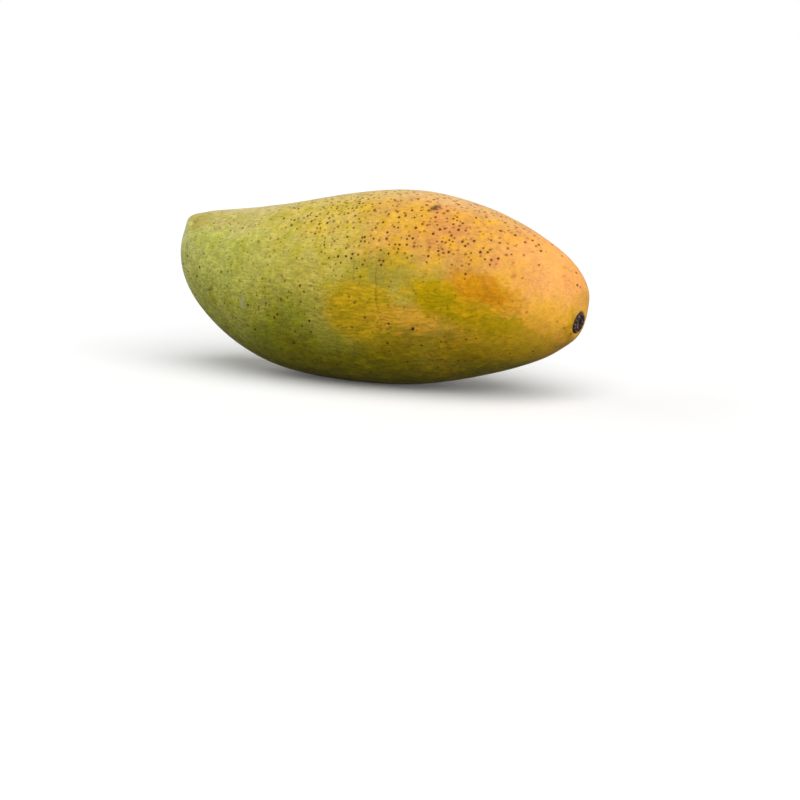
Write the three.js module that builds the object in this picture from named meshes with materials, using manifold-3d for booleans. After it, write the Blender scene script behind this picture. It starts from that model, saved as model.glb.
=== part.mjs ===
// A long mango as it is picked and eaten: the whole fruit, skin and flesh in one solid,
// with the dried stub of its stalk seated in the stem end.
//
// Millimetres, +Z up. +X runs along the fruit from its nose to its stem end, and the
// fruit lies on a small flat spot in the plane Z = 0, with the nose hooked upwards.
// The origin is on that plane, under the middle of the fruit's length.

import * as THREE from "three";
import { mergeVertices } from "three/addons/utils/BufferGeometryUtils.js";
import Module from "manifold-3d";

const wasm = await Module();
wasm.setup();

// ---------------------------------------------------------------- driving dimensions

const HALF_LENGTH = 82.5;

// The form is measured at eight stations from the nose to the stem end. They stand
// closer together towards both ends, where the form turns quickest.
const CENTRE_HEIGHTS = [6.7, 4.4, -2, -3.25, -1.1, -1.25, -2.75, -2.8]; // over the axis
const CENTRE_SIDES = [1.6, 1, 0.2, -0.3, -0.2, 0.3, 0.9, 1.2]; // to the +Y side
const HALF_HEIGHTS = [42.3, 36.8, 32.9, 33.2, 34.8, 34, 34.4, 35.2]; // of the round there
const HALF_WIDTHS = [27.3, 27.1, 27.4, 28.5, 29.7, 30.4, 31.8, 31.9];
const EGG = 0.04; // how much narrower each section is at its top than at its middle

const AXIS_HEIGHT = 35.5; // of the long axis over the resting plane, which trims the flat spot

// The beak is the blunt corner on top of the nose, where the flower once was. Its place and
// its reach are measured on the ball of radius 1 that the form is made from.
const BEAK_UP = THREE.MathUtils.degToRad(21.3); // from the tip of the nose
const BEAK_SIDE = -0.1;
const BEAK_REACH = 0.095;
const BEAK_WIDTH = 0.32;
const BEAK_HEIGHT = 1.7;

const FACETS_ROUND = 64;
const FACETS_ALONG = 52;

// The stalk leaves the stem end a little under the tip and slightly to the -Y side.
const STALK_FROM_TIP = THREE.MathUtils.degToRad(10.3);
const STALK_TO_SIDE = THREE.MathUtils.degToRad(11.6);
const STALK_DOWN = THREE.MathUtils.degToRad(13); // how far it points below the long axis
const STALK_ASIDE = THREE.MathUtils.degToRad(2); // and how far it points to the -Y side

// Round the stalk the skin swells into a low even shoulder that stands square to it.
const SHOULDER_ROUND = 14; // radius of the shoulder's own curve
const SHOULDER_FULL = 4.5; // it is the whole form as far as this from the stalk's axis
const SHOULDER_REACH = 12; // and has faded into the fruit's own form here

// On the shoulder the skin flattens into a shallow dish, and the stub sits in its middle.
const SOCKET_RADIUS = 3.9;
const SOCKET_DEPTH = 3.4; // below the skin's own curve, as the dish's depth is
const DISH_RADIUS = 6.4;
const DISH_DEPTH = 0.9; // where it meets the socket
const DISH_FALL = 0.25; // from there to its outer edge
const STALK_GAP = 0.3; // left between the stub and its socket, all round
const STUB_RADIUS = SOCKET_RADIUS - STALK_GAP;
const STUB_PROUD = 0.25; // how far the stub's rim stands out of the dish
const STUB_FACETS = 28;
const SPAN = 400; // larger than the fruit every way

// ---------------------------------------------------------------- the fruit's form

// Where each station stands along the fruit, from -1 at the nose to 1 at the stem end.
function stationPlace(index, count) {
  return -Math.cos((Math.PI * index) / (count - 1));
}

// The smooth curve through a value at every station, read at one place along the fruit.
function through(values, along) {
  return values.reduce((sum, value, i) => {
    const here = stationPlace(i, values.length);
    const weight = values.reduce((product, _, j) => {
      const other = stationPlace(j, values.length);
      return j === i ? product : (product * (along - other)) / (here - other);
    }, 1);
    return sum + value * weight;
  }, 0);
}

// How far the beak swells out at a point of the unit ball.
function beakAt(point) {
  const along = Math.hypot(point.x + Math.cos(BEAK_UP), point.z - Math.sin(BEAK_UP)) / BEAK_REACH;
  const across = (point.y - BEAK_SIDE) / BEAK_WIDTH;
  return BEAK_HEIGHT * Math.exp(-along * along - across * across);
}

// Carries a point of the unit ball, whose poles lie on the X axis, to the fruit's skin.
function onSkin(point) {
  const width = through(HALF_WIDTHS, point.x) * (1 - EGG * point.z);
  return new THREE.Vector3(
    HALF_LENGTH * point.x,
    through(CENTRE_SIDES, point.x) + width * point.y,
    AXIS_HEIGHT + through(CENTRE_HEIGHTS, point.x) + through(HALF_HEIGHTS, point.x) * point.z,
  ).addScaledVector(point, beakAt(point));
}

// ---------------------------------------------------------------- the stalk's seat

// The frame whose +Z leaves the fruit along the stalk, with its origin on the skin.
function stalkFrame() {
  const fromAxis = Math.sin(STALK_FROM_TIP);
  const seat = onSkin(
    new THREE.Vector3(
      Math.cos(STALK_FROM_TIP),
      -fromAxis * Math.sin(STALK_TO_SIDE),
      -fromAxis * Math.cos(STALK_TO_SIDE),
    ),
  );
  const outwards = new THREE.Vector3(
    Math.cos(STALK_DOWN) * Math.cos(STALK_ASIDE),
    -Math.cos(STALK_DOWN) * Math.sin(STALK_ASIDE),
    -Math.sin(STALK_DOWN),
  );
  const turn = new THREE.Quaternion().setFromUnitVectors(new THREE.Vector3(0, 0, 1), outwards);
  return { seat, turn };
}

// Raises or lowers a point of the skin, near the stalk, to the shoulder round it.
function onShoulder(point, seat, turn) {
  const local = point.clone().sub(seat).applyQuaternion(turn.clone().invert());
  if (local.z < -HALF_LENGTH) return point;
  const reach = Math.hypot(local.x, local.y);
  const share = 1 - THREE.MathUtils.smoothstep(reach, SHOULDER_FULL, SHOULDER_REACH);
  local.z += share * (-(reach * reach) / (2 * SHOULDER_ROUND) - local.z);
  return local.applyQuaternion(turn).add(seat);
}

function fruitForm(seat, turn) {
  const form = new THREE.SphereGeometry(1, FACETS_ROUND, FACETS_ALONG).rotateZ(-Math.PI / 2);
  const corners = form.getAttribute("position");
  const corner = new THREE.Vector3();
  for (let i = 0; i < corners.count; i++) {
    corner.copy(onShoulder(onSkin(corner.fromBufferAttribute(corners, i)), seat, turn));
    corners.setXYZ(i, corner.x, corner.y, corner.z);
  }
  return form;
}

// A solid of revolution about +Z, from its half section.
function turned(section) {
  const points = section.map(([radius, height]) => new THREE.Vector2(radius, height));
  return new THREE.LatheGeometry(points, STUB_FACETS).rotateX(Math.PI / 2);
}

function socketTool() {
  const clear = DISH_RADIUS; // past the skin, so that the cut comes out cleanly
  return turned([
    [0, -SOCKET_DEPTH],
    [SOCKET_RADIUS * 0.8, -SOCKET_DEPTH],
    [SOCKET_RADIUS, -SOCKET_DEPTH * 0.75],
    [SOCKET_RADIUS, -DISH_DEPTH],
    [DISH_RADIUS, -DISH_DEPTH - DISH_FALL],
    [DISH_RADIUS, clear],
    [0, clear],
  ]);
}

// The dried stub: a corky plug with a rounded rim round a shallow broken face.
function stubForm() {
  const foot = STALK_GAP - SOCKET_DEPTH;
  const rim = STUB_PROUD - DISH_DEPTH;
  return turned([
    [0, foot],
    [STUB_RADIUS * 0.78, foot],
    [STUB_RADIUS, foot * 0.75],
    [STUB_RADIUS, rim - STUB_PROUD * 0.7],
    [STUB_RADIUS * 0.93, rim - STUB_PROUD * 0.2],
    [STUB_RADIUS * 0.76, rim],
    [STUB_RADIUS * 0.5, rim - STUB_PROUD * 0.3],
    [STUB_RADIUS * 0.2, rim - STUB_PROUD],
    [0, rim - STUB_PROUD * 1.1],
  ]);
}

// ---------------------------------------------------------------- joining and cutting

function toSolid(geometry) {
  const bare = geometry.clone();
  bare.deleteAttribute("normal");
  bare.deleteAttribute("uv");
  const merged = mergeVertices(bare, 1e-3);
  return new wasm.Manifold(
    new wasm.Mesh({
      numProp: 3,
      vertProperties: new Float32Array(merged.getAttribute("position").array),
      triVerts: new Uint32Array(merged.index.array),
    }),
  );
}

function toGeometry(solid) {
  const { vertProperties, triVerts } = solid.getMesh();
  const geometry = new THREE.BufferGeometry();
  geometry.setAttribute("position", new THREE.BufferAttribute(vertProperties, 3));
  geometry.setIndex(new THREE.BufferAttribute(triVerts, 1));
  geometry.computeVertexNormals();
  return geometry;
}

// ---------------------------------------------------------------- the pieces

const { seat, turn } = stalkFrame();

function fruit() {
  const socket = socketTool().applyQuaternion(turn).translate(seat.x, seat.y, seat.z);
  const underResting = new THREE.BoxGeometry(SPAN, SPAN, SPAN).translate(0, 0, -SPAN / 2);
  const form = toSolid(fruitForm(seat, turn));
  const solid = form.subtract(toSolid(socket)).subtract(toSolid(underResting));
  const skin = new THREE.MeshStandardMaterial({ color: 0xb9a53c, roughness: 0.45, metalness: 0 });
  const mesh = new THREE.Mesh(toGeometry(solid), skin);
  mesh.name = "fruit";
  return mesh;
}

function stalkStub() {
  const cork = new THREE.MeshStandardMaterial({ color: 0x2a1c17, roughness: 0.85, metalness: 0 });
  const mesh = new THREE.Mesh(stubForm(), cork);
  mesh.name = "stalk_stub";
  mesh.position.copy(seat);
  mesh.quaternion.copy(turn);
  return mesh;
}

const mango = new THREE.Group();
mango.name = "mango";
mango.add(fruit(), stalkStub());

export default mango;
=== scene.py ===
import math

import bmesh
import bpy
import numpy as np
from bpy.props import FloatProperty, FloatVectorProperty, PointerProperty
from mathutils import Matrix, Vector, noise


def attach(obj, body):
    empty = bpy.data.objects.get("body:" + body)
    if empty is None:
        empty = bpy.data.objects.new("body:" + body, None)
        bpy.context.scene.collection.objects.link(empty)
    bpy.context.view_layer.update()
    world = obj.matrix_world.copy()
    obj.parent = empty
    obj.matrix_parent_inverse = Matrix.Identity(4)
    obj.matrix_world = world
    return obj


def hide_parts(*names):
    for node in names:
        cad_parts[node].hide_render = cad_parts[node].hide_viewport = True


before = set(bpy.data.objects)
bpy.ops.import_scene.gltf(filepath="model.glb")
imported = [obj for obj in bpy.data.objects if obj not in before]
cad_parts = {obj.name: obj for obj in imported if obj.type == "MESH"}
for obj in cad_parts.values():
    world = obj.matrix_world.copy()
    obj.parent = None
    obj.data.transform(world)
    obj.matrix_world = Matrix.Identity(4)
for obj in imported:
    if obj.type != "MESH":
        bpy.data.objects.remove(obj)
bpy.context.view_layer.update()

bl_info = {
    "name": "Mango",
    "version": (1, 0, 0),
    "blender": (4, 5, 0),
    "location": "View3D > Sidebar > Mango",
    "description": "Dresses the packed mango with its skin, its stalk stub and a plain studio",
    "category": "Add Mesh",
}

MM = 0.001

# ------------------------------------------------------------------ the fruit's form, in mm

# These are the part's own dimensions. Eight stations stand along the fruit from its nose
# to its stem end, closer together towards both ends.
HALF_LENGTH = 82.5
CENTRE_HEIGHTS = (6.7, 4.4, -2, -3.25, -1.1, -1.25, -2.75, -2.8)
CENTRE_SIDES = (1.6, 1, 0.2, -0.3, -0.2, 0.3, 0.9, 1.2)
HALF_HEIGHTS = (42.3, 36.8, 32.9, 33.2, 34.8, 34, 34.4, 35.2)
HALF_WIDTHS = (27.3, 27.1, 27.4, 28.5, 29.7, 30.4, 31.8, 31.9)
EGG = 0.04
AXIS_HEIGHT = 35.5

BEAK_UP = math.radians(21.3)
BEAK_SIDE = -0.1
BEAK_REACH = 0.095
BEAK_WIDTH = 0.32
BEAK_HEIGHT = 1.7

STALK_FROM_TIP = math.radians(10.3)
STALK_TO_SIDE = math.radians(11.6)
STALK_DOWN = math.radians(13)
STALK_ASIDE = math.radians(2)
SHOULDER_ROUND = 14
SHOULDER_FULL = 4.5
SHOULDER_REACH = 12
SOCKET_RADIUS = 3.9
DISH_DEPTH = 0.9
DISH_FALL = 0.25
DISH_RADIUS = 6.4
DISH_SOFTNESS = 0.5
STUB_RADIUS = 3.6
STUB_PROUD = 0.25

# The skin's own relief: the pit that the stub sits in, and the pucker round it.
PIT_DEPTH = 1.6
PIT_WALL = (SOCKET_RADIUS - 0.65, SOCKET_RADIUS + 0.1)
PUCKER_HEIGHT = 0.05
PUCKER_RADIUS = 5
PUCKER_WIDTH = 1.6

# Waves of the pucker round the stalk: how high each is against the others, how many go round,
# and where they start.
PUCKER_WAVES = ((1, 7, 1.3), (0.7, 11, 0.4), (0.5, 17, 0))

# Swells of the skin: how high each is against the others, its length in mm, and its seed.
SWELLS = ((1, 30, 1), (0.35, 11, 2))

# How finely the skin is divided round the fruit and along it.
SKIN_ROUND = 256
SKIN_ALONG = 250

# Half the section of the dried stub, from the middle of its face round to its foot: the share
# of its radius, and the height over its rim in mm.
STUB_SECTION = (
    (0.0, -0.42),
    (0.18, -0.36),
    (0.5, -0.12),
    (0.78, 0),
    (0.94, -0.1),
    (1.0, -0.4),
    (1.0, -1.1),
    (0.8, -1.5),
    (0.0, -1.5),
)
STUB_ROUND = 128

# The relief of the cork, whose heights are shares of the lump height. Its grains have a
# height, a size in mm and a seed. Its rings of lumps have a height, a radius and a width in mm,
# how many lumps go round, and how unevenly they lie.
CORK_GRAINS = ((0.35, 0.9, 3), (0.25, 0.4, 4))
CORK_RINGS = ((0.9, 3.0, 0.5, 15, 1.7), (0.6, 1.9, 0.4, 9, 2.3))


def station_weights(along):
    """How much each station counts at each place along the fruit, from -1 to 1."""
    count = len(CENTRE_HEIGHTS)
    places = [-math.cos(math.pi * i / (count - 1)) for i in range(count)]
    columns = []
    for here in places:
        column = np.ones_like(along)
        for other in places:
            if other != here:
                column *= (along - other) / (here - other)
        columns.append(column)
    return np.stack(columns, axis=1)


def on_skin(ball):
    """Carries points of the unit ball, whose poles lie on X, to the fruit's skin."""
    weights = station_weights(ball[:, 0])
    width = (weights @ HALF_WIDTHS) * (1 - EGG * ball[:, 2])
    points = np.stack(
        (
            HALF_LENGTH * ball[:, 0],
            weights @ CENTRE_SIDES + width * ball[:, 1],
            AXIS_HEIGHT + weights @ CENTRE_HEIGHTS + (weights @ HALF_HEIGHTS) * ball[:, 2],
        ),
        axis=1,
    )
    along = np.hypot(ball[:, 0] + math.cos(BEAK_UP), ball[:, 2] - math.sin(BEAK_UP)) / BEAK_REACH
    across = (ball[:, 1] - BEAK_SIDE) / BEAK_WIDTH
    return points + ball * (BEAK_HEIGHT * np.exp(-(along**2) - across**2))[:, None]


def stalk_frame():
    """The frame, in mm, whose +Z leaves the fruit along its stalk from a point on the skin."""
    aside = math.sin(STALK_FROM_TIP)
    on_ball = (
        math.cos(STALK_FROM_TIP),
        -aside * math.sin(STALK_TO_SIDE),
        -aside * math.cos(STALK_TO_SIDE),
    )
    seat = Vector(on_skin(np.array([on_ball]))[0])
    outwards = Vector(
        (
            math.cos(STALK_DOWN) * math.cos(STALK_ASIDE),
            -math.cos(STALK_DOWN) * math.sin(STALK_ASIDE),
            -math.sin(STALK_DOWN),
        )
    )
    turn = Vector((0, 0, 1)).rotation_difference(outwards).to_matrix().to_4x4()
    return Matrix.Translation(seat) @ turn


def smooth_step(low, high, value):
    """Eases from 0 at low to 1 at high."""
    share = np.clip((value - low) / (high - low), 0, 1)
    return share * share * (3 - 2 * share)


def smooth_lower(first, second, blend):
    """The lower of two heights, rounded over where they cross."""
    return 0.5 * (first + second - np.sqrt((first - second) ** 2 + blend * blend))


def noise_over(points, grain, seed):
    """Smooth noise at each point, from about -1 to 1, with bumps about grain mm across."""
    shift = Vector((seed * 11.3, seed * 5.7, seed * 8.9))
    return np.array([noise.noise(Vector(p) / grain + shift) for p in points])


def press_stalk_dish(points, form):
    """Swells the shoulder round the stalk, with its dish and the stub's pit in the middle."""
    frame_of_stalk = np.array(stalk_frame())
    turn, seat = frame_of_stalk[:3, :3], frame_of_stalk[:3, 3]
    local = (points - seat) @ turn
    reach = np.hypot(local[:, 0], local[:, 1])
    angle = np.arctan2(local[:, 1], local[:, 0])
    near = (reach < 3 * DISH_RADIUS) & (local[:, 2] > -3 * DISH_RADIUS)

    share = 1 - smooth_step(SHOULDER_FULL, SHOULDER_REACH, reach)
    shoulder = local[:, 2] - share * (local[:, 2] + reach**2 / (2 * SHOULDER_ROUND))
    slope = DISH_FALL / (DISH_RADIUS - SOCKET_RADIUS)
    dish = -form.dish_depth / MM - slope * (reach - SOCKET_RADIUS)
    height = smooth_lower(shoulder, dish, DISH_SOFTNESS)

    pucker = sum(part * np.sin(count * angle + start) for part, count, start in PUCKER_WAVES)
    height += PUCKER_HEIGHT * pucker * np.exp(-(((reach - PUCKER_RADIUS) / PUCKER_WIDTH) ** 2))
    height -= PIT_DEPTH * (1 - smooth_step(*PIT_WALL, reach))
    local[:, 2] = np.where(near, height, local[:, 2])
    return np.where(near[:, None], local @ turn.T + seat, points)


def rest_flat(points, softness):
    """Presses the lowest skin to the resting plane, with a soft edge round the flat spot."""
    heights = points[:, 2]
    points[:, 2] = 0.5 * (heights + np.sqrt(heights**2 + softness**2))
    return points


# ------------------------------------------------------------------ meshes


def add_object(name, data):
    """A new object in the scene, at the origin, that shows the given data."""
    made = bpy.data.objects.new(name, data)
    bpy.context.scene.collection.objects.link(made)
    return made


def finished(bm, name, material):
    """Turns a bmesh, in metres, into a smooth object with one material."""
    bmesh.ops.recalc_face_normals(bm, faces=bm.faces)
    for face in bm.faces:
        face.smooth = True
    mesh = bpy.data.meshes.new(name)
    bm.to_mesh(mesh)
    bm.free()
    mesh.materials.append(material)
    return add_object(name, mesh)


def dress(piece, node):
    """Sets the piece on the body and in place of its plain node."""
    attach(piece, "root")
    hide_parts(node)


def fruit_form(form):
    """The fruit's skin: a ball of fine faces carried to the fruit's form, then its relief."""
    bm = bmesh.new()
    bmesh.ops.create_uvsphere(bm, u_segments=SKIN_ROUND, v_segments=SKIN_ALONG, radius=1)
    bmesh.ops.rotate(bm, verts=bm.verts, matrix=Matrix.Rotation(math.pi / 2, 3, "Y"))
    points = on_skin(np.array([v.co for v in bm.verts]))
    for vert, point in zip(bm.verts, points):
        vert.co = point
    bm.normal_update()
    outwards = np.array([v.normal for v in bm.verts])
    if outwards[0] @ (points[0] - points.mean(axis=0)) < 0:
        outwards = -outwards
    swell = sum(part * noise_over(points, grain, seed) for part, grain, seed in SWELLS)
    points += outwards * (swell * form.swell / MM)[:, None]
    points = press_stalk_dish(points, form)
    points = rest_flat(points, form.flat_edge / MM)
    for vert, point in zip(bm.verts, points * MM):
        vert.co = point
    return bm


def bump_ring(reach, angle, radius, width, count, wobble):
    """A ring of rounded bumps of the given radius, from 0 between them to 1 on top."""
    bumps = 0.5 + 0.5 * np.cos(count * angle + wobble * np.sin(2 * angle + wobble))
    return bumps * np.exp(-(((reach - radius) / width) ** 2))


def cork_relief(points):
    """Height of the dried cork, from about -1 to 1: lumps round its rim, a ridge, a hollow."""
    down, aside = points[:, 0], points[:, 1]
    angle = np.arctan2(aside, down)
    reach = np.hypot(down, aside)
    relief = sum(part * noise_over(points, grain, seed) for part, grain, seed in CORK_GRAINS)
    for part, radius, width, count, wobble in CORK_RINGS:
        relief += part * bump_ring(reach, angle, radius, width, count, wobble)
    ridge = np.exp(-(((aside + 1.0 - 0.2 * down) / 0.4) ** 2) - (down / 1.9) ** 4)
    groove = np.exp(-(((reach - 2.45) / 0.2) ** 2))
    hollow = np.exp(-(((aside - 0.5) / 0.8) ** 2) - (down / 1.4) ** 2)
    return relief + 0.8 * ridge - 0.6 * groove - 1.1 * hollow


def stub_form(stalk):
    """The dried stub: a corky plug, spun from its half section and then made lumpy."""
    rim = STUB_PROUD - DISH_DEPTH
    bm = bmesh.new()
    corners = [bm.verts.new((share * STUB_RADIUS, 0, rim + over)) for share, over in STUB_SECTION]
    edges = [bm.edges.new(pair) for pair in zip(corners, corners[1:])]
    bmesh.ops.subdivide_edges(bm, edges=edges, cuts=7)
    bmesh.ops.spin(
        bm, geom=bm.verts[:] + bm.edges[:], cent=(0, 0, 0), axis=(0, 0, 1),
        angle=2 * math.pi, steps=STUB_ROUND, use_merge=True,
    )
    bmesh.ops.remove_doubles(bm, verts=bm.verts, dist=1e-4)
    bmesh.ops.recalc_face_normals(bm, faces=bm.faces)
    for _ in range(3):
        bmesh.ops.smooth_vert(
            bm, verts=bm.verts, factor=0.5, use_axis_x=True, use_axis_y=True, use_axis_z=True
        )
    bm.normal_update()
    points = np.array([v.co for v in bm.verts])
    outwards = np.array([v.normal for v in bm.verts])
    relief = cork_relief(points)
    layer = bm.verts.layers.float.new("relief")
    for vert, height in zip(bm.verts, relief):
        vert[layer] = height
    points += outwards * (relief * stalk.lump / MM)[:, None]
    place = np.array(stalk_frame())
    points = points @ place[:3, :3].T + place[:3, 3]
    for vert, point in zip(bm.verts, points * MM):
        vert.co = point
    return bm


# ------------------------------------------------------------------ node wiring

ALONG = (1.0, 0.0, 0.0)
UPWARDS = (0.0, 0.0, 1.0)
HALF = (0.5, 0.5, 0.5)


class Wiring:
    """Adds nodes to one node tree. An input is a socket to link from, or a plain value."""

    def __init__(self, tree):
        self.tree = tree
        self.count = 0

    def put(self, socket, source):
        if isinstance(source, bpy.types.NodeSocket):
            self.tree.links.new(source, socket)
        else:
            socket.default_value = source

    def add(self, kind, inputs=(), **settings):
        node = self.tree.nodes.new(kind)
        node.location = (200 * (self.count // 6), -220 * (self.count % 6))
        self.count += 1
        for name, value in settings.items():
            setattr(node, name, value)
        for name, source in dict(inputs).items():
            self.put(node.inputs[name], source)
        return node

    def math(self, operation, *terms):
        node = self.add("ShaderNodeMath", operation=operation)
        for socket, term in zip(node.inputs, terms):
            self.put(socket, term)
        return node.outputs["Value"]

    def vector(self, operation, *terms, scale=None):
        node = self.add("ShaderNodeVectorMath", operation=operation)
        for socket, term in zip(node.inputs, terms):
            self.put(socket, term)
        if scale is not None:
            self.put(node.inputs["Scale"], scale)
        return node.outputs["Value" if operation in ("LENGTH", "DOT_PRODUCT") else "Vector"]

    def product(self, first, *others):
        """All the values multiplied together."""
        for other in others:
            first = self.math("MULTIPLY", first, other)
        return first

    def ramp(self, value, low, high, out_low=0.0, out_high=1.0, smooth=True):
        """Eases value from out_low at low to out_high at high."""
        node = self.add(
            "ShaderNodeMapRange",
            {
                "Value": value, "From Min": low, "From Max": high,
                "To Min": out_low, "To Max": out_high,
            },
            interpolation_type="SMOOTHSTEP" if smooth else "LINEAR",
        )
        return node.outputs["Result"]

    def uneven(self, noise, contrast):
        """Noise spread evenly round 1, up to contrast more or less."""
        return self.ramp(noise, 0.3, 0.7, 1 - contrast, 1 + contrast, smooth=False)

    def noise(self, vector, size, detail=2.0, roughness=0.5, output="Fac"):
        """Smooth noise with features about size long, from 0 to 1 round 0.5."""
        node = self.add(
            "ShaderNodeTexNoise",
            {"Vector": vector, "Scale": 1 / size, "Detail": detail, "Roughness": roughness},
        )
        return node.outputs[output]

    def wander(self, vector, size, reach, detail):
        """A drift of up to about half the reach either way, with features about size long."""
        drift = self.vector("SUBTRACT", self.noise(vector, size, detail, output="Color"), HALF)
        return self.vector("SCALE", drift, scale=reach)

    def mix(self, factor, first, second):
        """The first colour, or the second where the factor is 1."""
        node = self.add("ShaderNodeMix", data_type="RGBA")
        self.put(node.inputs["Factor"], factor)
        for name, source in (("A", first), ("B", second)):
            socket = [i for i in node.inputs if i.name == name and i.type == "RGBA"][0]
            if not isinstance(source, bpy.types.NodeSocket):
                source = (*source, 1)
            self.put(socket, source)
        return [o for o in node.outputs if o.type == "RGBA"][0]

    def group(self, name, build, inputs):
        """The outputs of the node group of that name, built the first time it is used."""
        tree = bpy.data.node_groups.get(name) or build(name)
        node = self.add("ShaderNodeGroup", node_tree=tree)
        for socket, source in inputs.items():
            self.put(node.inputs[socket], source)
        return node.outputs


def new_group(name, inputs, outputs):
    """A node group with the named sockets, and the wiring to fill it with."""
    tree = bpy.data.node_groups.new(name, "ShaderNodeTree")
    kinds = {"value": "NodeSocketFloat", "vector": "NodeSocketVector"}
    for socket, (kind, default) in inputs.items():
        made = tree.interface.new_socket(socket, in_out="INPUT", socket_type=kinds[kind])
        made.default_value = default
    for socket, kind in outputs.items():
        tree.interface.new_socket(socket, in_out="OUTPUT", socket_type=kinds[kind])
    return tree, Wiring(tree)


def soft_patch_group(name):
    """A mask, 1 inside an ellipsoid and fading out across its edge."""
    tree, wire = new_group(
        name,
        {
            "Position": ("vector", (0, 0, 0)),
            "Centre": ("vector", (0, 0, 0)),
            "Reach": ("vector", (10, 10, 10)),
            "Lean": ("value", 0.0),
            "Softness": ("value", 0.3),
        },
        {"Mask": "value"},
    )
    given = wire.add("NodeGroupInput").outputs
    away = wire.vector("SUBTRACT", given["Position"], given["Centre"])
    turned = wire.add("ShaderNodeVectorRotate", {"Vector": away, "Angle": given["Lean"]})
    turned.rotation_type = "Y_AXIS"
    scaled = wire.vector("DIVIDE", turned.outputs["Vector"], given["Reach"])
    distance = wire.vector("LENGTH", scaled)
    inner = wire.math("SUBTRACT", 1.0, given["Softness"])
    outer = wire.math("ADD", 1.0, given["Softness"])
    wire.add("NodeGroupOutput", {"Mask": wire.ramp(distance, inner, outer, 1.0, 0.0)})
    return tree


def dots_group(name):
    """Round dots scattered over a surface, kept as Share says, each with a wider faint ring."""
    tree, wire = new_group(
        name,
        {
            "Position": ("vector", (0, 0, 0)),
            "Facing": ("vector", (0, 0, 1)),
            "Spacing": ("value", 2.0),
            "Radius": ("value", 0.5),
            "Share": ("value", 1.0),
        },
        {"Dot": "value", "Ring": "value"},
    )
    given = wire.add("NodeGroupInput").outputs
    spacing = given["Spacing"]
    cells = wire.vector("SCALE", given["Position"], scale=wire.math("DIVIDE", 1.0, spacing))
    voronoi = wire.add("ShaderNodeTexVoronoi", {"Vector": cells, "Scale": 1.0})
    chance = wire.add("ShaderNodeSeparateColor", {"Color": voronoi.outputs["Color"]}).outputs

    # How far the surface is from the middle of its dot, along the surface and into it.
    away = wire.vector("SUBTRACT", cells, voronoi.outputs["Position"])
    away = wire.vector("SCALE", away, scale=spacing)
    depth = wire.vector("DOT_PRODUCT", away, given["Facing"])
    inwards = wire.vector("SCALE", given["Facing"], scale=depth)
    distance = wire.vector("LENGTH", wire.vector("SUBTRACT", away, inwards))

    # Dots too deep under the surface would come out as slivers, so they are left out.
    near = wire.math("LESS_THAN", wire.math("ABSOLUTE", depth), wire.math("MULTIPLY", spacing, 0.3))
    picked = wire.math("LESS_THAN", chance["Red"], given["Share"])
    strength = wire.product(near, picked, wire.ramp(chance["Blue"], 0, 1, 0.45, 1.0))

    radius = wire.math("MULTIPLY", given["Radius"], wire.ramp(chance["Green"], 0, 1, 0.75, 1.15))
    core = wire.math("MULTIPLY", radius, 0.55)
    dot = wire.ramp(distance, core, wire.math("MULTIPLY", radius, 1.25), 1.0, 0.0)
    ring = wire.ramp(distance, core, wire.math("MULTIPLY", radius, 1.9), 1.0, 0.0)
    wire.add(
        "NodeGroupOutput",
        {"Dot": wire.product(dot, strength), "Ring": wire.product(ring, strength)},
    )
    return tree


def grain_group(name):
    """Fine uneven grain: one value for colour and one, in mm, for the surface's height."""
    tree, wire = new_group(
        name,
        {"Position": ("vector", (0, 0, 0)), "Size": ("value", 1.0), "Height": ("value", 0.05)},
        {"Tone": "value", "Relief": "value"},
    )
    given = wire.add("NodeGroupInput").outputs
    cells = wire.vector("SCALE", given["Position"], scale=wire.math("DIVIDE", 1.0, given["Size"]))
    coarse = wire.noise(cells, 3.0, detail=2)
    fine = wire.noise(cells, 1.0, detail=3, roughness=0.6)
    both = wire.math("MULTIPLY_ADD", coarse, 0.5, wire.math("MULTIPLY", fine, 0.5))
    wire.add(
        "NodeGroupOutput",
        {
            "Tone": wire.ramp(both, 0.3, 0.7, smooth=False),
            "Relief": wire.math("MULTIPLY", fine, given["Height"]),
        },
    )
    return tree


# ------------------------------------------------------------------ materials


def srgb(red, green, blue):
    """A colour written as 0 to 255 display values, as Blender's linear colour."""
    shares = (red / 255, green / 255, blue / 255)
    return tuple(s / 12.92 if s <= 0.04045 else ((s + 0.055) / 1.055) ** 2.4 for s in shares)


def new_material(name):
    """A material, its shader, and the wiring to fill it with."""
    material = bpy.data.materials.new(name)
    material.use_nodes = True
    return material, material.node_tree.nodes["Principled BSDF"], Wiring(material.node_tree)


def position_in_mm(wire):
    """The place on the object, in mm."""
    place = wire.add("ShaderNodeTexCoord").outputs["Object"]
    return wire.vector("SCALE", place, scale=1 / MM)


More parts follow.
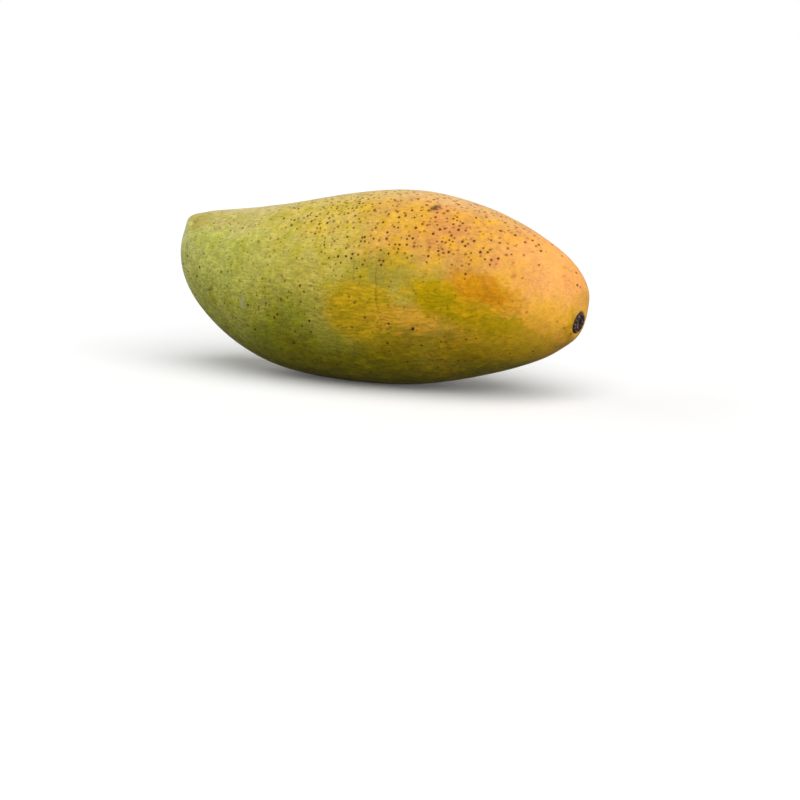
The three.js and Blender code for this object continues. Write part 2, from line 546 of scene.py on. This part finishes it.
# Where the skin's colours lie: the patch, its colour, its middle and its reach in mm, its lean
# in degrees, the softness of its edge, and how strongly it shows. Later ones cover earlier
# ones.
PATCHES = (
    ("nose side", "green", (-66, -10, 34), (34, 44, 34), 0, 0.5, 0.85),
    ("nose tip", "tip_green", (-84, -10, 32), (17, 30, 15), 0, 0.4, 1.0),
    ("nose belly", "deep_green", (-16, -14, 14), (28, 40, 17), 8, 0.5, 0.9),
    # The nose top patch is tan bloom with a painted sheen: paler where the overhead light's
    # reflection falls on top of the nose.
    ("nose top", "bloom_and_sheen", (-56, -4, 60), (32, 26, 9), 3, 0.5, 0.7),
    ("nose corner", "corner_olive", (-76, -6, 55), (12, 22, 7), 0, 0.5, 0.9),
    ("shoulder", "yellow", (6, -8, 66), (34, 36, 18), 10, 0.5, 0.8),
    ("middle", "yellow", (30, -20, 40), (52, 34, 30), 0, 0.5, 0.35),
    ("blush", "orange", (74, -4, 70), (64, 44, 37), 8, 0.24, 1.0),
    ("stem end", "peach", (86, 0, 40), (30, 40, 24), 8, 0.5, 0.9),
    ("under stem end", "amber", (66, -12, 26), (28, 28, 13), -6, 0.45, 0.9),
    # The belly patch is olive skin darkened with painted shade, where shade falls under the fruit.
    ("belly", "belly", (22, 0, 2), (72, 46, 17), 0, 0.4, 0.95),
    ("far side", "green", (-6, 30, 30), (56, 22, 30), 0, 0.5, 0.7),
)

# Smaller patches, which keep closer to their places.
FLECKS = (
    ("low side", "old_gold", (38, -23, 18), (28, 14, 7), -4, 0.5, 0.8),
    ("low stem side", "gold", (66, -17, 18), (16, 14, 6), -12, 0.5, 0.8),
    ("blush edge", "yellow_orange", (25, -22, 50), (14, 14, 8), -4, 0.5, 0.8),
    ("side gold", "gold", (12, -29, 30), (14, 14, 11), 0, 0.3, 1.0),
    ("side amber", "amber", (31, -27, 28), (14, 14, 5), 4, 0.5, 0.8),
    ("side olive", "olive", (20, -27, 44), (12, 14, 5.5), 6, 0.5, 0.85),
    ("near olive", "olive_gold", (41, -26, 35.5), (13, 14, 6), -18, 0.45, 1.0),
    ("low olive", "olive_gold", (55, -21, 28), (14, 14, 5), -10, 0.5, 0.9),
    ("streak", "deep_orange", (54.5, -20, 38.5), (12.5, 14, 5), -18, 0.45, 1.0),
    ("top flame", "flame", (24, -16, 61), (7, 9, 3.5), -6, 0.6, 0.6),
    ("nose flame", "flame", (-9, -20, 56), (8, 9, 3), 5, 0.6, 0.35),
    ("flush", "flush", (37, -18, 56), (7, 9, 6), 0, 0.7, 0.35),
    ("low flush", "flush", (66, -12, 44), (9, 9, 4), -20, 0.7, 0.35),
    ("tip flush", "flush", (80, -4, 44), (4, 8, 7), 0, 0.7, 0.4),
    ("stalk ring", "deep_gold", (80.5, -4, 26), (4, 3.5, 5.5), 14, 0.4, 0.8),
    ("under stalk", "dark_olive", (78, -3, 20), (4, 4, 2), 30, 0.6, 0.5),
)

# Marks, which hardly wander at all.
MARKS = (
    ("scar", "scab", (31.5, -12, 64), (1.5, 3, 1.1), 12, 0.7, 0.85),
    ("trail", "scab", (18.5, -28, 38), (0.35, 5, 8), 5, 0.7, 0.35),
    ("second trail", "scab", (9.5, -28, 43), (0.3, 5, 3.5), 8, 0.7, 0.3),
    ("scratch", "scab", (-57, -19, 31), (2.0, 4, 0.45), 20, 0.7, 0.6),
    ("speck", "scab", (31.3, -26.6, 24.7), (0.7, 3, 0.6), 20, 0.5, 1.0),
    ("rub", "chalk", (-39.6, -24, 28), (0.9, 4, 2.4), 0, 0.7, 0.4),
)

# Round freckles of the stem end, which don't wander.
FRECKLES = (
    ("freckle", "rust", (64.2, -16.5, 43.3), (0.65, 2, 0.6), 0, 0.9, 0.75),
    ("upper freckle", "rust", (63, -14.6, 47.4), (0.45, 2, 0.4), 0, 0.9, 0.75),
    ("left freckle", "rust", (58, -17.6, 47), (0.45, 2, 0.4), 0, 0.9, 0.8),
    ("low freckle", "rust", (69, -16.6, 31.6), (0.4, 2, 0.4), 0, 0.9, 0.8),
    ("end freckle", "rust", (77.1, -5.4, 42.9), (0.35, 2, 0.35), 0, 0.9, 0.5),
)

# Wide areas of the skin: the middle, the reach, the lean and the softness of each. The blush
# warms the clouds and the dots, and the large dots crowd in the other two.
BLUSH = ((66, -6, 50), (62, 44, 48), 10, 0.5)
SHOULDER_CROWD = ((21, -4, 70), (53, 34, 31), 0, 0.35)
NOSE_CROWD = ((-26, -25, 24), (20, 14, 12), 0, 0.5)

# Sizes of the skin's texture, in mm.
CLOUD_SIZE = 5.5
MOTTLE_SIZE = 3.2
GRAIN_SIZE = 0.6
GRAIN_HEIGHT = 0.05
FIBRE_WIDTH = 0.55
FIBRE_LENGTH = 3.0
STREAK_WIDTH = 0.75
STREAK_LENGTH = 8.0

# The share by which each kind of texture lightens and darkens the skin.
FIBRE_CONTRAST = 0.19
GRAIN_CONTRAST = 0.18
MOTTLE_CONTRAST = 0.12
STREAK_CONTRAST = 0.24

# The distance between neighbouring dots in mm, before any are left out, how many times smaller
# than the large ones the others are, and the size of the crowds that they stand in.
LARGE_SPACING = 1.75
MIDDLING_SPACING = 2.3
FAINT_SPACING = 1.5
MIDDLING_SHRINK = 1.15
FAINT_SHRINK = 1.6
CROWD_SIZE = 7

# How much of the skin the painted sheen covers where it faces straight up: a pale colour in place
# of the overhead light's reflection.
PAINTED_SHEEN_COVER = 0.36

CORK_GRAIN_SIZE = 0.35
CORK_GRAIN_HEIGHT = 0.12
CORK_FLECK_SIZE = 1.3


def patch_mask(wire, place, centre, reach, lean, softness):
    """1 inside the patch, and fading out across its edge."""
    inputs = {
        "Position": place, "Centre": centre, "Reach": reach,
        "Lean": math.radians(lean), "Softness": softness,
    }
    return wire.group("soft_patch", soft_patch_group, inputs)["Mask"]


def painted(wire, place, colour, patches, skin):
    """The colour with each patch laid over it in turn."""
    for _, tint, centre, reach, lean, softness, strength in patches:
        mask = patch_mask(wire, place, centre, reach, lean, softness)
        colour = wire.mix(wire.math("MULTIPLY", mask, strength), colour, getattr(skin, tint))
    return colour


def skin_places(wire, place):
    """Far, near and close wandering copies of the place, so that no patch has an even edge."""
    near = wire.vector("ADD", place, wire.wander(place, 4, 9.0, detail=3))
    far = wire.vector("ADD", near, wire.wander(place, 18, 22.0, detail=1))
    close = wire.vector("ADD", place, wire.wander(place, 1.2, 2.2, detail=2))
    return far, near, close


def clouded(wire, place, colour, blush, skin):
    """The colour under slow clouds of richer skin and, higher up, of duller skin."""
    rich = wire.mix(blush, skin.moss, skin.marigold)
    dull = wire.mix(blush, skin.veil, skin.rose)
    clouds = wire.noise(place, CLOUD_SIZE, detail=3, roughness=0.6)
    calm = wire.ramp(wire.vector("DOT_PRODUCT", place, ALONG), 46, 70, 0.5, 0.2)
    colour = wire.mix(wire.product(wire.ramp(clouds, 0.48, 0.66), calm), colour, rich)
    above = wire.ramp(wire.vector("DOT_PRODUCT", place, UPWARDS), 34, 56, 0.0, 0.45)
    return wire.mix(wire.product(wire.ramp(clouds, 0.51, 0.32), above), colour, dull)


def skin_fibres(wire, place, width, length):
    """Fine wavy fibres that run along the fruit."""
    bent = wire.vector("ADD", place, wire.wander(place, 5, 2.4, detail=1))
    squeezed = wire.vector("MULTIPLY", bent, (width / length, 1.0, 1.0))
    return wire.noise(squeezed, width, detail=2, roughness=0.55)


def skin_tone(wire, place, speckle, blush):
    """How much the skin's texture lightens or darkens its colour, as a factor round 1."""
    tone = wire.product(
        wire.uneven(skin_fibres(wire, place, FIBRE_WIDTH, FIBRE_LENGTH), FIBRE_CONTRAST),
        wire.ramp(speckle, 0, 1, 1 - GRAIN_CONTRAST, 1 + GRAIN_CONTRAST, smooth=False),
        wire.uneven(wire.noise(place, MOTTLE_SIZE, detail=2), MOTTLE_CONTRAST),
    )
    softened = wire.ramp(blush, 0, 1, 1.0, 0.6)
    tone = wire.math("MULTIPLY_ADD", wire.math("SUBTRACT", tone, 1.0), softened, 1.0)

    # Longer streaks show low on the side and fade out where the skin turns to the stem end.
    streaks = wire.uneven(skin_fibres(wire, place, STREAK_WIDTH, STREAK_LENGTH), STREAK_CONTRAST)
    low = wire.ramp(wire.vector("DOT_PRODUCT", place, UPWARDS), 50, 30)
    sideways = wire.ramp(wire.vector("DOT_PRODUCT", place, ALONG), 58, 76, 1.0, 0.15)
    shown = wire.product(low, sideways)
    return wire.math("MULTIPLY_ADD", wire.math("SUBTRACT", streaks, 1.0), shown, tone)


def skin_dots(wire, place, facing, spacing, width, share):
    """One kind of dot, with its width in metres. Share says how many are kept where."""
    inputs = {
        "Position": place, "Facing": facing, "Spacing": spacing,
        "Radius": width / 2 / MM, "Share": share,
    }
    return wire.group("skin_dots", dots_group, inputs)


def dotted(wire, colour, dots, blush, clear, sparse, skin):
    """The colour with its dots. Large ones show as clear says, and smaller ones as sparse."""
    large, middling, faint = dots
    tint = wire.mix(wire.ramp(blush, 0.2, 0.8), skin.pale_dot, skin.russet)
    deep = wire.mix(wire.ramp(large["Dot"], 0.35, 0.8), tint, skin.dot)
    colour = wire.mix(wire.product(large["Ring"], clear, 0.25), colour, skin.bruise)
    colour = wire.mix(wire.product(faint["Dot"], sparse, 0.45), colour, tint)
    colour = wire.mix(wire.product(middling["Dot"], sparse, 0.75), colour, tint)
    return wire.mix(wire.product(large["Dot"], clear), colour, deep)


def skin_material(skin):
    """Waxy skin in patches from green to orange, with fibres, grain, marks and dots, and a painted
    sheen where it faces up.
    """
    material, shader, wire = new_material("mango_skin")
    place = position_in_mm(wire)
    facing = wire.add("ShaderNodeTexCoord").outputs["Normal"]
    far, near, close = skin_places(wire, place)
    blush = patch_mask(wire, far, *BLUSH)
    grain = wire.group(
        "fine_grain", grain_group,
        {"Position": place, "Size": GRAIN_SIZE, "Height": GRAIN_HEIGHT},
    )

    # Patches and clouds of colour, and a painted sheen: a pale colour in place of the overhead
    # light's reflection, on the skin facing up.
    colour = painted(wire, far, skin.pale_green, PATCHES, skin)
    colour = painted(wire, near, colour, FLECKS, skin)
    colour = clouded(wire, place, colour, blush, skin)
    # The painted sheen's mask, which grows as the skin turns to face straight up.
    waxy = wire.ramp(wire.vector("DOT_PRODUCT", facing, UPWARDS), 0.82, 1.02, 0.0, PAINTED_SHEEN_COVER)
    colour = wire.mix(waxy, colour, skin.painted_sheen)

    # Texture, and the marks over it.
    colour = wire.vector("SCALE", colour, scale=skin_tone(wire, place, grain["Tone"], blush))
    colour = painted(wire, close, colour, MARKS, skin)
    colour = painted(wire, place, colour, FRECKLES, skin)

    # Large dots crowd over the shoulder, middling ones lie all over, with faint specks.
    crowd = wire.noise(place, CROWD_SIZE, detail=1)
    shoulder = patch_mask(wire, far, *SHOULDER_CROWD)
    nose = patch_mask(wire, far, *NOSE_CROWD)
    crowded = wire.math("MAXIMUM", wire.ramp(shoulder, 0, 1, 0.05, 1.2), wire.product(nose, 0.35))
    crowded = wire.product(crowded, wire.ramp(crowd, 0.35, 0.6, 0.5, 1.0))
    kinds = (
        (LARGE_SPACING, 1, crowded),
        (MIDDLING_SPACING, MIDDLING_SHRINK, wire.ramp(crowd, 0.6, 0.4, 0.35, 0.8)),
        (FAINT_SPACING, FAINT_SHRINK, wire.ramp(crowd, 0.65, 0.35, 0.3, 0.9)),
    )
    dots = [
        skin_dots(wire, place, facing, spacing, skin.dot_size / shrink, share)
        for spacing, shrink, share in kinds
    ]
    # The dots fade under the painted sheen.
    clear = wire.math("MULTIPLY_ADD", waxy, -0.8, 1.0)
    bare = wire.ramp(wire.vector("DOT_PRODUCT", place, ALONG), 40, 64, 1.0, 0.3)
    sparse = wire.product(bare, wire.ramp(shoulder, 0, 1, 1.0, 0.5), clear)
    colour = dotted(wire, colour, dots, blush, clear, sparse, skin)
    wire.put(shader.inputs["Base Color"], colour)

    large = dots[0]["Dot"]
    gloss = wire.ramp(grain["Tone"], 0, 1, skin.roughness - 0.05, skin.roughness + 0.07)
    wire.put(shader.inputs["Roughness"], wire.math("MULTIPLY_ADD", large, 0.25, gloss))
    shader.inputs["IOR"].default_value = 1.4
    shader.inputs["Specular IOR Level"].default_value = 0.2
    shader.inputs["Sheen Weight"].default_value = 0.06
    shader.inputs["Sheen Roughness"].default_value = 0.4
    bump = wire.add("ShaderNodeBump", {"Height": grain["Relief"], "Distance": MM, "Strength": 0.6})
    wire.put(shader.inputs["Normal"], bump.outputs["Normal"])
    return material


def stalk_material(stalk):
    """Dry cork, dark in its hollows, greyer on its ridges and worn tan in flecks."""
    material, shader, wire = new_material("stalk_cork")
    place = position_in_mm(wire)
    grain = wire.group(
        "fine_grain", grain_group,
        {"Position": place, "Size": CORK_GRAIN_SIZE, "Height": CORK_GRAIN_HEIGHT},
    )
    relief = wire.add("ShaderNodeAttribute", attribute_name="relief").outputs["Fac"]
    height = wire.math("MULTIPLY_ADD", grain["Tone"], 0.7, wire.math("SUBTRACT", relief, 0.35))
    colour = wire.mix(wire.ramp(height, -0.35, 0.35), stalk.hollow, stalk.cork)
    colour = wire.mix(wire.ramp(height, 0.3, 1.0), colour, stalk.ridge)
    worn = wire.ramp(wire.noise(place, CORK_FLECK_SIZE, detail=1), 0.6, 0.68, 0.0, 0.7)
    colour = wire.mix(wire.product(worn, wire.ramp(height, 0.1, 0.7)), colour, stalk.tan)
    wire.put(shader.inputs["Base Color"], colour)
    shader.inputs["Roughness"].default_value = 0.8
    bump = wire.add("ShaderNodeBump", {"Height": grain["Relief"], "Distance": MM, "Strength": 1.0})
    wire.put(shader.inputs["Normal"], bump.outputs["Normal"])
    return material


def floor_material(stage):
    """White to the camera, where it keeps the shadow, and duller as the fruit's surroundings."""
    material, shader, wire = new_material("pale_floor")
    seen = wire.add("ShaderNodeLightPath").outputs["Is Camera Ray"]
    bounce = (stage.floor_bounce,) * 3
    wire.put(shader.inputs["Base Color"], wire.mix(seen, bounce, stage.floor_colour))
    wire.put(shader.inputs["Emission Strength"], wire.math("MULTIPLY", seen, stage.floor_glow))
    shader.inputs["Emission Color"].default_value = (1, 1, 1, 1)
    shader.inputs["Roughness"].default_value = 1
    shader.inputs["Specular IOR Level"].default_value = 0
    return material


# ------------------------------------------------------------------ settings


def colour_setting(name, description, red, green, blue):
    """A colour to set, whose default is written as 0 to 255 display values."""
    return FloatVectorProperty(
        name=name, description=description, default=srgb(red, green, blue),
        subtype="COLOR", min=0, max=1,
    )


class MangoFormSettings(bpy.types.PropertyGroup):
    swell: FloatProperty(
        name="Swell", description="Height of the skin's slow undulation",
        default=0.35 * MM, min=0, unit="LENGTH",
    )
    dish_depth: FloatProperty(
        name="Dish Depth", description="How far the skin flattens round the stalk",
        default=DISH_DEPTH * MM, min=0, unit="LENGTH",
    )
    flat_edge: FloatProperty(
        name="Flat Edge", description="Softness of the edge round the resting spot",
        default=0.25 * MM, min=0, unit="LENGTH",
    )


class MangoSkinSettings(bpy.types.PropertyGroup):
    pale_green: colour_setting("Pale Green", "Skin between the patches", 204, 195, 80)
    green: colour_setting("Green", "Unripe skin of the nose", 200, 201, 88)
    tip_green: colour_setting("Tip Green", "Paler skin at the tip of the nose", 228, 229, 124)
    deep_green: colour_setting("Deep Green", "Greenest skin, low on the nose", 150, 158, 34)
    corner_olive: colour_setting("Corner Olive", "Duller skin round the beak", 184, 165, 72)
    # Tan bloom with a painted sheen on top of the nose.
    bloom_and_sheen: colour_setting("Bloom", "Waxy tan bloom on top of the nose", 204, 180, 110)
    yellow: colour_setting("Yellow", "Ripening skin between green and orange", 224, 188, 82)
    yellow_orange: colour_setting("Yellow Orange", "Edge of the blush", 236, 178, 74)
    gold: colour_setting("Gold", "Ripe patch low on the side", 218, 178, 26)
    old_gold: colour_setting("Old Gold", "Ripe skin low on the side", 182, 150, 4)
    deep_gold: colour_setting("Deep Gold", "Skin close round the stalk", 206, 156, 12)
    dark_olive: colour_setting("Dark Olive", "Skin just under the stalk", 140, 116, 30)
    olive: colour_setting("Olive", "Patch still green above the gold", 180, 164, 50)
    olive_gold: colour_setting("Olive Gold", "Patch between gold and orange", 196, 164, 0)
    # Olive underside darkened with painted shade.
    belly: colour_setting("Belly", "Dull underside", 158, 143, 0)
    orange: colour_setting("Orange", "Blush of the shoulder", 224, 162, 72)
    deep_orange: colour_setting("Deep Orange", "Streak in the blush", 219, 146, 10)
    peach: colour_setting("Peach", "Blush of the stem end", 250, 176, 94)
    amber: colour_setting("Amber", "Ripe skin under the stem end", 252, 186, 56)
    flame: colour_setting("Flame", "Bright yellow flecks", 236, 186, 56)
    flush: colour_setting("Flush", "Redder flecks of the blush", 218, 142, 72)
    chalk: colour_setting("Chalk", "Pale rubbed mark", 205, 205, 170)
    marigold: colour_setting("Marigold", "Richer clouds in the blush", 246, 182, 16)
    rose: colour_setting("Rose", "Duller clouds in the blush", 216, 138, 84)
    moss: colour_setting("Moss", "Richer clouds in the green skin", 182, 178, 8)
    veil: colour_setting("Veil", "Waxy clouds over the green skin", 202, 200, 108)
    # Painted sheen: the pale colour that stands in for the overhead light's reflection on the skin
    # facing up.
    painted_sheen: colour_setting("Wax", "Bloom of wax on top", 255, 230, 182)
    dot: colour_setting("Dot", "Larger breathing dots of the skin", 90, 35, 9)
    pale_dot: colour_setting("Pale Dot", "Smaller breathing dots of the skin", 100, 82, 14)
    russet: colour_setting("Russet", "Fainter dots inside the blush", 162, 69, 10)
    rust: colour_setting("Rust", "Reddish freckles of the stem end", 208, 94, 46)
    scab: colour_setting("Scab", "Healed scars and scratches", 70, 44, 40)
    bruise: colour_setting("Bruise", "Dull tint round the dots", 170, 104, 50)
    dot_size: FloatProperty(
        name="Dot Size", description="Width of the larger dots",
        default=0.97 * MM, min=0, unit="LENGTH",
    )
    roughness: FloatProperty(
        name="Roughness", description="Roughness of the waxy skin", default=0.45, min=0, max=1
    )


class MangoStalkSettings(bpy.types.PropertyGroup):
    hollow: colour_setting("Hollow", "Darkest hollows of the stub", 20, 10, 8)
    cork: colour_setting("Cork", "Dried cork of the stub", 60, 38, 34)
    ridge: colour_setting("Ridge", "Greyer ridges on the stub", 150, 124, 120)
    tan: colour_setting("Tan", "Worn tan flecks on the lumps", 180, 140, 104)
    lump: FloatProperty(
        name="Lump Height", description="Height of the lumps on the dried stub",
        default=0.35 * MM, min=0, unit="LENGTH",
    )


class MangoStageSettings(bpy.types.PropertyGroup):
    azimuth: FloatProperty(
        name="Azimuth", description="Camera's turn round the fruit from its near side",
        default=math.radians(30), subtype="ANGLE",
    )
    elevation: FloatProperty(
        name="Elevation", description="Camera's height over the horizon as an angle",
        default=math.radians(11), subtype="ANGLE",
    )
    key: FloatProperty(
        name="Key Lamp", description="Strength of the wide lamp overhead",
        default=2.2, min=0,
    )
    fill: FloatProperty(
        name="Fill Lamp", description="Strength of the low lamp on the stem end's side",
        default=3.2, min=0,
    )
    side: FloatProperty(
        name="Side Lamp", description="Strength of the lamp on the nose's side",
        default=2.3, min=0,
    )
    back: FloatProperty(
        name="Back Lamp", description="Strength of the lamp behind the fruit",
        default=0.5, min=0,
    )
    room: FloatProperty(
        name="Room Light", description="Strength of the even light from all round",
        default=0.05, min=0,
    )
    floor_colour: FloatVectorProperty(
        name="Floor", description="Floor colour the camera sees",
        default=(0.97, 0.97, 0.97), subtype="COLOR", min=0, max=1,
    )
    floor_bounce: FloatProperty(
        name="Floor Bounce", description="Share of light the floor throws back on the fruit",
        default=0.12, min=0, max=1,
    )
    floor_glow: FloatProperty(
        name="Floor Glow", description="Light added to the floor for the camera alone",
        default=0.06, min=0,
    )


# ------------------------------------------------------------------ operators


class MANGO_OT_fruit(bpy.types.Operator):
    """Make the fruit: one grown piece of flesh and skin"""

    bl_idname = "mango.fruit"
    bl_label = "Make Fruit"

    def execute(self, context):
        scene = context.scene
        form = fruit_form(scene.mango_form)
        piece = finished(form, "mango_fruit", skin_material(scene.mango_skin))
        dress(piece, "fruit")
        return {"FINISHED"}


class MANGO_OT_stalk(bpy.types.Operator):
    """Make the dried stub of the stalk"""

    bl_idname = "mango.stalk"
    bl_label = "Make Stalk Stub"

    def execute(self, context):
        stalk = context.scene.mango_stalk
        piece = finished(stub_form(stalk), "mango_stalk_stub", stalk_material(stalk))
        dress(piece, "stalk_stub")
        return {"FINISHED"}


# Half the width of the floor, in metres.
FLOOR_REACH = 12

# Where the camera looks, to the right of and above the middle of the fruit's axis, and how far
# off it stands, in mm.
AIM_RIGHT = 9.69
AIM_UP = -42.05
CAMERA_DISTANCE = 669.56
FOCAL_LENGTH = 85
SENSOR_WIDTH = 36

# Each lamp by the name of its strength's setting, which way it lies from the fruit, and how
# wide it is in degrees.
LAMPS = (
    ("key", (0.45, -0.35, 1), 75),
    ("fill", (0.95, -0.4, -0.05), 90),
    ("side", (-1, -0.05, 0.05), 80),
    ("back", (0.2, 1, 0.35), 80),
)


def add_floor(stage):
    """The wide floor that the fruit lies on."""
    bm = bmesh.new()
    bmesh.ops.create_grid(bm, x_segments=1, y_segments=1, size=FLOOR_REACH)
    mesh = bpy.data.meshes.new("floor")
    bm.to_mesh(mesh)
    bm.free()
    mesh.materials.append(floor_material(stage))
    add_object("floor", mesh)


def add_lamps(stage):
    """Soft lamps so far off that each lights every part of the fruit alike."""
    for name, towards, spread in LAMPS:
        lamp = bpy.data.lights.new(f"{name}_lamp", "SUN")
        lamp.angle = math.radians(spread)
        lamp.energy = getattr(stage, name)
        holder = add_object(lamp.name, lamp)
        holder.rotation_euler = Vector(towards).to_track_quat("Z", "Y").to_euler()


def add_room_light(stage):
    """Even light from all round, which the camera itself sees as plain white."""
    world = bpy.data.worlds.new("studio")
    world.use_nodes = True
    bpy.context.scene.world = world
    wire = Wiring(world.node_tree)
    background = world.node_tree.nodes["Background"]
    background.inputs["Color"].default_value = (1, 1, 1, 1)
    seen = wire.add("ShaderNodeLightPath").outputs["Is Camera Ray"]
    strength = wire.ramp(seen, 0, 1, stage.room, 1.0, smooth=False)
    wire.put(background.inputs["Strength"], strength)


def add_camera(stage):
    """The camera, which looks back at its aim from its distance, turned round and raised."""
    azimuth, elevation = stage.azimuth, stage.elevation
    back = Vector(
        (
            math.sin(azimuth) * math.cos(elevation),
            -math.cos(azimuth) * math.cos(elevation),
            math.sin(elevation),
        )
    )
    right = Vector((math.cos(azimuth), math.sin(azimuth), 0))
    up = back.cross(right)
    aim = Vector((0, 0, AXIS_HEIGHT)) + right * AIM_RIGHT + up * AIM_UP
    lens = bpy.data.cameras.new("camera")
    lens.lens = FOCAL_LENGTH
    lens.sensor_width = SENSOR_WIDTH
    lens.clip_start = 0.01
    lens.clip_end = 50
    camera = add_object("camera", lens)
    camera.location = (aim + back * CAMERA_DISTANCE) * MM
    camera.rotation_mode = "QUATERNION"
    camera.rotation_quaternion = (-back).to_track_quat("-Z", "Y")
    bpy.context.scene.camera = camera


class MANGO_OT_stage(bpy.types.Operator):
    """Make the floor, the lamps, the room's light and the camera"""

    bl_idname = "mango.stage"
    bl_label = "Make Stage"

    def execute(self, context):
        stage = context.scene.mango_stage
        add_floor(stage)
        add_lamps(stage)
        add_room_light(stage)
        add_camera(stage)
        context.scene.view_settings.view_transform = "Standard"
        return {"FINISHED"}


class VIEW3D_PT_mango(bpy.types.Panel):
    bl_label = "Mango"
    bl_idname = "VIEW3D_PT_mango"
    bl_space_type = "VIEW_3D"
    bl_region_type = "UI"
    bl_category = "Mango"

    def draw(self, context):
        scene = context.scene
        for title, settings, operator in (
            ("Fruit", (scene.mango_form, scene.mango_skin), MANGO_OT_fruit),
            ("Stalk", (scene.mango_stalk,), MANGO_OT_stalk),
            ("Stage", (scene.mango_stage,), MANGO_OT_stage),
        ):
            column = self.layout.column()
            column.label(text=title)
            for group in settings:
                for name in group.__annotations__:
                    column.prop(group, name)
            column.operator(operator.bl_idname)


CLASSES = (
    MangoFormSettings,
    MangoSkinSettings,
    MangoStalkSettings,
    MangoStageSettings,
    MANGO_OT_fruit,
    MANGO_OT_stalk,
    MANGO_OT_stage,
    VIEW3D_PT_mango,
)


def register():
    for each in CLASSES:
        bpy.utils.register_class(each)
    bpy.types.Scene.mango_form = PointerProperty(type=MangoFormSettings)
    bpy.types.Scene.mango_skin = PointerProperty(type=MangoSkinSettings)
    bpy.types.Scene.mango_stalk = PointerProperty(type=MangoStalkSettings)
    bpy.types.Scene.mango_stage = PointerProperty(type=MangoStageSettings)


def unregister():
    del bpy.types.Scene.mango_stage
    del bpy.types.Scene.mango_stalk
    del bpy.types.Scene.mango_skin
    del bpy.types.Scene.mango_form
    for each in reversed(CLASSES):
        bpy.utils.unregister_class(each)


def main():
    register()
    bpy.ops.mango.fruit()
    bpy.ops.mango.stalk()
    bpy.ops.mango.stage()


if __name__ == "__main__":
    main()
